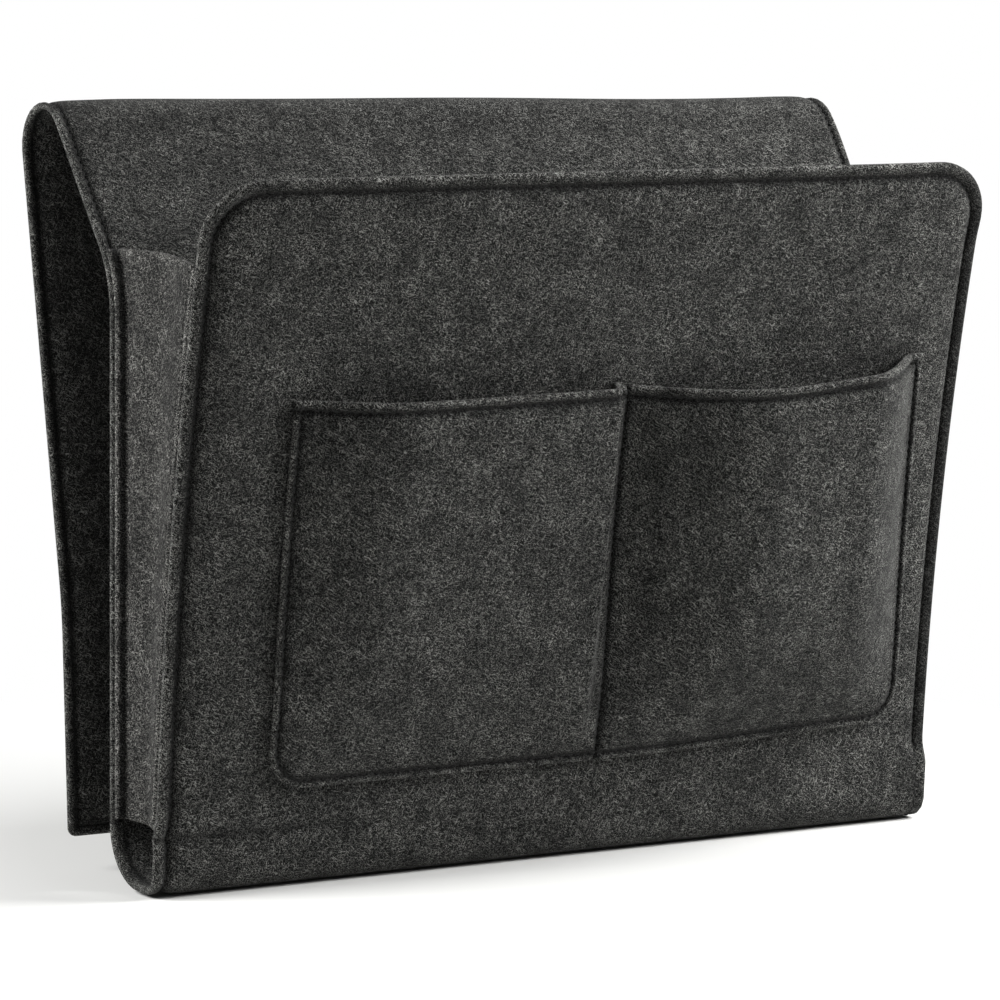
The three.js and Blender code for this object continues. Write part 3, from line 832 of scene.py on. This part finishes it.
# Each run of thread: its name, the node it stands for, the sheet it is sewn in, its path and the sheet's face
SEAMS = (
    ("front_edge", "front_edge_stitch", front_surface, front_rim, 1),
    *at_both_sides("bottom", "bottom_stitch", front_surface, front_seam, 1, lambda s: s <= front_crease),
    *at_both_sides("back", "back_seam", rear_surface, rear_seam, -1, lambda s: s < lean_start),
    *at_both_sides(
        "saddle", "saddle_stitch", rear_surface, rear_seam, 1, lambda s: saddle_start < s < flap_start
    ),
    ("flap_edge", "flap_edge_stitch", rear_surface, flap_rim, 1),
    ("pocket_edge", "pocket_edge_stitch", pocket_surface, pocket_seam, 1),
    ("pocket_divider", "pocket_divider_stitch", pocket_surface, divider_path, 1),
    ("pocket_hem_left", "pocket_hem_stitch_left", pocket_surface, left_hem, 1),
    ("pocket_hem_right", "pocket_hem_stitch_right", pocket_surface, right_hem, 1),
)


# Materials
def linear(colour):
    """An sRGB hex colour as linear light."""
    parts = (int(colour[i:i + 2], 16) / 255 for i in (1, 3, 5))
    return (*(p / 12.92 if p <= 0.04045 else ((p + 0.055) / 1.055) ** 2.4 for p in parts), 1)


def add_node(tree, kind, inputs=None, **settings):
    """Adds a node. inputs are plain values or the sockets that feed it."""
    node = tree.nodes.new(kind)
    for key, value in settings.items():
        setattr(node, key, value)
    for key, value in (inputs or {}).items():
        if isinstance(value, bpy.types.NodeSocket):
            tree.links.new(value, node.inputs[key])
        else:
            node.inputs[key].default_value = value
    return node


def new_material(name):
    material = bpy.data.materials.new(name)
    material.use_nodes = True
    material.node_tree.nodes.clear()
    return material, material.node_tree


def per_metre(millimetres):
    """Scale of a pattern whose features are this far apart."""
    return 1000 / millimetres


# Needled wool felt: loose fibres of several greys, matted flat. Pale and dark fibres lie in short curls over
# a charcoal ground, in clouds of more and less of them, and the nap catches a little light when seen aslant.
# Fibres are drawn about 0.3 mm thick, several times the real ones, so that they show.
FIBRE_LENGTH, FIBRE_THICKNESS = 0.0034, 0.00028  # in metres
FIBRE_START, FIBRE_FULL = 0.63, 0.8  # levels of the noise where a fibre begins and is solid
CURL_SIZE, CURL_REACH = 2.6, 0.0016  # mm between curls, and metres that a fibre bends aside
CLOUD_SIZE = 7.0  # mm between tufts of the ground
DRIFT_SIZE = 10.0  # mm between patches where the felt is thin
NAP_HEIGHT = 0.0004  # metres
HIGHLIGHT_GAIN = 1.6  # how much the painted highlight beside a cut edge lightens the felt
PRESS_SHADE = 0.25  # how dark the painted shade makes the felt in seams, creases and recesses
# Each row is a lie of fibres: rise and turn of their run in degrees, tone, and share of the ground covered.
FIBRES = (
    (0, 10, "pale", 0.8),
    (65, 5, "pale", 0.8),
    (35, 20, "dark", 1.0),
    (-62, 30, "dark", 1.0),
    (-35, -15, "pale", 0.9),
    (20, 80, "pale", 0.8),
)


def needled_felt(name, lie=0, **tones):
    """lie turns the fibres' run about the vertical, in degrees, to suit a piece that faces sideways."""
    material, tree = new_material(name)
    place = add_node(tree, "ShaderNodeTexCoord").outputs["Object"]
    curl = add_node(
        tree, "ShaderNodeTexNoise", {"Vector": place, "Scale": per_metre(CURL_SIZE), "Detail": 1.0}
    )
    curled = add_node(
        tree,
        "ShaderNodeVectorMath",
        {0: curl.outputs["Color"], 1: (CURL_REACH,) * 3, 2: place},
        operation="MULTIPLY_ADD",
    ).outputs[0]
    clouds = add_node(
        tree,
        "ShaderNodeTexNoise",
        {"Vector": place, "Scale": per_metre(CLOUD_SIZE), "Detail": 4.0, "Roughness": 0.62},
    )
    cloud = add_node(
        tree, "ShaderNodeMapRange", {"Value": clouds.outputs["Fac"], "From Min": 0.34, "From Max": 0.66}
    ).outputs[0]
    colour = add_node(
        tree,
        "ShaderNodeMix",
        {0: cloud, 6: linear(tones["shade"]), 7: linear(tones["ground"])},
        data_type="RGBA",
    ).outputs[2]
    height = cloud
    for rise, turn, tone, cover in FIBRES:
        run = add_node(
            tree,
            "ShaderNodeMapping",
            {
                "Vector": curled,
                "Rotation": (0, math.radians(-rise), math.radians(turn + lie)),
                "Scale": (FIBRE_LENGTH, FIBRE_THICKNESS, FIBRE_THICKNESS),
            },
            vector_type="TEXTURE",
        )
        streaks = add_node(
            tree, "ShaderNodeTexNoise", {"Vector": run.outputs[0], "Scale": 1.0, "Detail": 0.0}
        )
        fibre = add_node(
            tree,
            "ShaderNodeMapRange",
            {
                "Value": streaks.outputs["Fac"],
                "From Min": FIBRE_START,
                "From Max": FIBRE_FULL,
                "To Max": cover,
            },
        ).outputs[0]
        colour = add_node(
            tree, "ShaderNodeMix", {0: fibre, 6: colour, 7: linear(tones[tone])}, data_type="RGBA"
        ).outputs[2]
        height = add_node(tree, "ShaderNodeMath", {0: height, 1: fibre}, operation="ADD").outputs[0]
    drifts = add_node(
        tree,
        "ShaderNodeTexNoise",
        {"Vector": place, "Scale": per_metre(DRIFT_SIZE), "Detail": 4.0, "Roughness": 0.6},
    )
    drift = add_node(
        tree, "ShaderNodeMapRange", {"Value": drifts.outputs["Fac"], "From Min": 0.36, "From Max": 0.64}
    ).outputs[0]
    thin = add_node(
        tree,
        "ShaderNodeMix",
        {0: 1.0, 6: colour, 7: linear(tones["thin"])},
        data_type="RGBA",
        blend_type="MULTIPLY",
    ).outputs[2]
    colour = add_node(tree, "ShaderNodeMix", {0: drift, 6: thin, 7: colour}, data_type="RGBA").outputs[2]
    # Painted highlight lightens the felt beside cut edges; painted shade darkens it in seams, creases and
    # recesses.
    for mark, strength in (("edge_highlight", HIGHLIGHT_GAIN), ("press_and_shade", PRESS_SHADE)):
        amount = add_node(tree, "ShaderNodeAttribute", attribute_name=mark).outputs["Fac"]
        light = add_node(tree, "ShaderNodeMapRange", {"Value": amount, "To Min": 1.0, "To Max": strength})
        colour = add_node(
            tree, "ShaderNodeVectorMath", {0: colour, "Scale": light.outputs[0]}, operation="SCALE"
        ).outputs[0]
    bump = add_node(tree, "ShaderNodeBump", {"Height": height, "Strength": 0.7, "Distance": NAP_HEIGHT})
    shader = add_node(
        tree,
        "ShaderNodeBsdfPrincipled",
        {
            "Base Color": colour,
            "Normal": bump.outputs["Normal"],
            "Roughness": 0.95,
            "Specular IOR Level": 0.08,
            "Sheen Weight": 0.03,
            "Sheen Roughness": 0.6,
        },
    )
    out = add_node(tree, "ShaderNodeOutputMaterial")
    tree.links.new(shader.outputs[0], out.inputs["Surface"])
    return material


# Spun polyester sewing thread: two plies twisted together, dark and a little smoother than the felt.
PLY_SIZE, PLY_HEIGHT = 0.5, 0.0001  # mm between its turns, and metres that they stand out


def spun_thread(name, colour, shade):
    material, tree = new_material(name)
    place = add_node(tree, "ShaderNodeTexCoord").outputs["Object"]
    twist = add_node(
        tree,
        "ShaderNodeTexNoise",
        {"Vector": place, "Scale": per_metre(PLY_SIZE), "Detail": 2.0},
    )
    tone = add_node(
        tree,
        "ShaderNodeMix",
        {0: twist.outputs["Fac"], 6: linear(shade), 7: linear(colour)},
        data_type="RGBA",
    )
    bump = add_node(
        tree,
        "ShaderNodeBump",
        {"Height": twist.outputs["Fac"], "Strength": 0.4, "Distance": PLY_HEIGHT},
    )
    shader = add_node(
        tree,
        "ShaderNodeBsdfPrincipled",
        {
            "Base Color": tone.outputs[2],
            "Normal": bump.outputs["Normal"],
            "Roughness": 0.7,
            "Specular IOR Level": 0.3,
        },
    )
    out = add_node(tree, "ShaderNodeOutputMaterial")
    tree.links.new(shader.outputs[0], out.inputs["Surface"])
    return material


FELT_TONES = {"ground": "#121211", "shade": "#090908", "dark": "#030303", "thin": "#b8b8b8"}
charcoal_felt = needled_felt("charcoal_needled_felt", pale="#979793", **FELT_TONES)
# The gussets' felt is the same charcoal felt with its fibres turned; its pale fibres are a touch lighter,
# painted light for their brighter lit sides.
gusset_felt = needled_felt("lit_charcoal_felt", lie=90, pale="#999894", **FELT_TONES)
dark_thread = spun_thread("dark_spun_thread", "#2a2a29", "#161615")


def turn_with_flap(piece, along):
    """Bakes the piece's place into its points; it does not make the piece follow the flap, and along is not
    used.
    """
    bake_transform(piece)


def dress(piece, material, slot, *nodes):
    piece.data.materials.append(material)
    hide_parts(*nodes)


dress(front_sheet, charcoal_felt, "felt", "front_panel", "bottom_fold")
dress(rear_sheet, charcoal_felt, "felt", "back_panel", "saddle_fold", "flap_panel")
dress(pocket_sheet, charcoal_felt, "felt", "pocket_panel")
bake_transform(front_sheet)
turn_with_flap(rear_sheet, np.tile(rear_blank.along, 2))
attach(pocket_sheet, "front")

for name, (piece, share, _) in gussets.items():
    dress(piece, gusset_felt, "gusset_felt", f"{name}_gusset")
    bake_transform(piece)

for name, node, surface, path, face in SEAMS:
    piece, along = seam_thread(f"{name}_thread", path, surface, face)
    dress(piece, dark_thread, "thread", node)
    if surface is pocket_surface:
        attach(piece, "front")
    elif surface is front_surface:
        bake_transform(piece)
    else:
        turn_with_flap(piece, along)


# Each sheet's cut size, worked out and passed to declare, which does nothing with it
def corner_waste(radius):
    return 2 * (1 - math.pi / 4) * radius**2


def declare(piece, width, length, area, held, rests_on):
    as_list(rests_on)


def declare_blank(piece, blank, held, rests_on):
    width = 2 * blank.half_width
    declare(piece, width, blank.length, width * blank.length - corner_waste(blank.corner), held, rests_on)


declare_blank(front_sheet, front_blank, "folded", [rear_sheet])
declare_blank(rear_sheet, rear_blank, "draped", [front_sheet])
declare_blank(pocket_sheet, pocket_blank, "laid", [front_sheet])
for piece, _, cut in gussets.values():
    declare(piece, *cut, "folded", [rear_sheet, front_sheet])

# Camera where the photograph was taken from
CAMERA_PLACE = (-966.2, -1595.8, 78.8)
SENSOR, LENS = 36, 186.58
YAW, PITCH, ROLL = math.radians(31.891), math.radians(6.742), math.radians(0.506)
right = Vector((math.cos(YAW), -math.sin(YAW), 0))
ahead = Vector((math.sin(YAW) * math.cos(PITCH), math.cos(YAW) * math.cos(PITCH), -math.sin(PITCH)))
above = right.cross(ahead)
right, above = (
    right * math.cos(ROLL) + above * math.sin(ROLL),
    above * math.cos(ROLL) - right * math.sin(ROLL),
)
camera_data = bpy.data.cameras.new("camera")
camera_data.sensor_width = SENSOR
camera_data.lens = LENS
camera = add_object("camera", camera_data)
camera.matrix_world = Matrix((right, above, -ahead)).transposed().to_4x4()
camera.location = Vector(CAMERA_PLACE) / 1000
scene.camera = camera


# Studio: a key softbox at the right, one at the left, a pale floor and a white surround
MIDDLE = Vector((0, -0.05, -0.13))


def softbox(name, azimuth, elevation, reach, size, power):
    """A square lamp that looks at the caddy's middle. Azimuth 0 is in front, 90 at the right, in degrees."""
    turn, rise = math.radians(azimuth), math.radians(elevation)
    out = Vector((math.sin(turn) * math.cos(rise), -math.cos(turn) * math.cos(rise), math.sin(rise)))
    lamp = bpy.data.lights.new(name, "AREA")
    lamp.size = size
    lamp.energy = power
    box = add_object(name, lamp)
    box.location = MIDDLE + out * reach
    box.rotation_euler = (-out).to_track_quat("-Z", "Y").to_euler()


softbox("key_softbox", azimuth=66, elevation=30, reach=0.85, size=0.5, power=15.5)
softbox("left_softbox", azimuth=-104, elevation=28, reach=1.2, size=0.6, power=19)

world = bpy.data.worlds.new("white_surround")
scene.world = world
world.use_nodes = True
tree = world.node_tree
tree.nodes.clear()
rays = add_node(tree, "ShaderNodeLightPath").outputs
seen = add_node(
    tree, "ShaderNodeMath", {0: rays["Is Camera Ray"], 1: rays["Is Glossy Ray"]}, operation="MAXIMUM"
)
seen = add_node(
    tree, "ShaderNodeMath", {0: seen.outputs[0], 1: rays["Is Transmission Ray"]}, operation="MAXIMUM"
)
ambient = add_node(tree, "ShaderNodeBackground", {"Color": linear("#ffffff"), "Strength": 0.1})
white = add_node(tree, "ShaderNodeBackground", {"Color": linear("#ffffff"), "Strength": 1.0})
mixed = add_node(
    tree, "ShaderNodeMixShader", {0: seen.outputs[0], 1: ambient.outputs[0], 2: white.outputs[0]}
)
out = add_node(tree, "ShaderNodeOutputWorld")
tree.links.new(mixed.outputs[0], out.inputs["Surface"])

# Matt paper sweep: pale, with the caddy's soft shadow, and white further out like the surround.
FADE_START, FADE_END = 0.17, 0.38  # metres from the floor's middle
paper, tree = new_material("matt_paper")
place = add_node(tree, "ShaderNodeTexCoord").outputs["Object"]
far = add_node(tree, "ShaderNodeVectorMath", {0: place}, operation="LENGTH")
fade = add_node(
    tree,
    "ShaderNodeMapRange",
    {"Value": far.outputs["Value"], "From Min": FADE_START, "From Max": FADE_END},
)
rays = add_node(tree, "ShaderNodeLightPath").outputs
white_out = add_node(
    tree, "ShaderNodeMath", {0: fade.outputs[0], 1: rays["Is Camera Ray"]}, operation="MULTIPLY"
)
matt = add_node(tree, "ShaderNodeBsdfDiffuse", {"Color": linear("#e6e6e4")})
glow = add_node(tree, "ShaderNodeEmission", {"Color": linear("#ffffff"), "Strength": 1.0})
mixed = add_node(
    tree, "ShaderNodeMixShader", {0: white_out.outputs[0], 1: matt.outputs[0], 2: glow.outputs[0]}
)
out = add_node(tree, "ShaderNodeOutputMaterial")
tree.links.new(mixed.outputs[0], out.inputs["Surface"])

FLOOR_REACH = 3.0  # metres from its middle to each side
FLOOR_DROP = 0.0005  # metres below the caddy's foot
floor_mesh = bpy.data.meshes.new("floor")
floor_mesh.from_pydata(
    [(x * FLOOR_REACH, y * FLOOR_REACH, 0) for x, y in ((-1, -1), (1, -1), (1, 1), (-1, 1))],
    [],
    [(0, 1, 2, 3)],
)
floor = add_object("floor", floor_mesh)
floor.location = (0, MIDDLE.y, cad_box[0][2] - FLOOR_DROP)
floor.data.materials.append(paper)
floor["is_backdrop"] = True

scene.view_settings.view_transform = "Standard"

bpy.context.view_layer.update()
boxes = {"cad": cad_box, "visual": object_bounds()}
{key: [list(map(float, corner)) for corner in box] for key, box in boxes.items()}
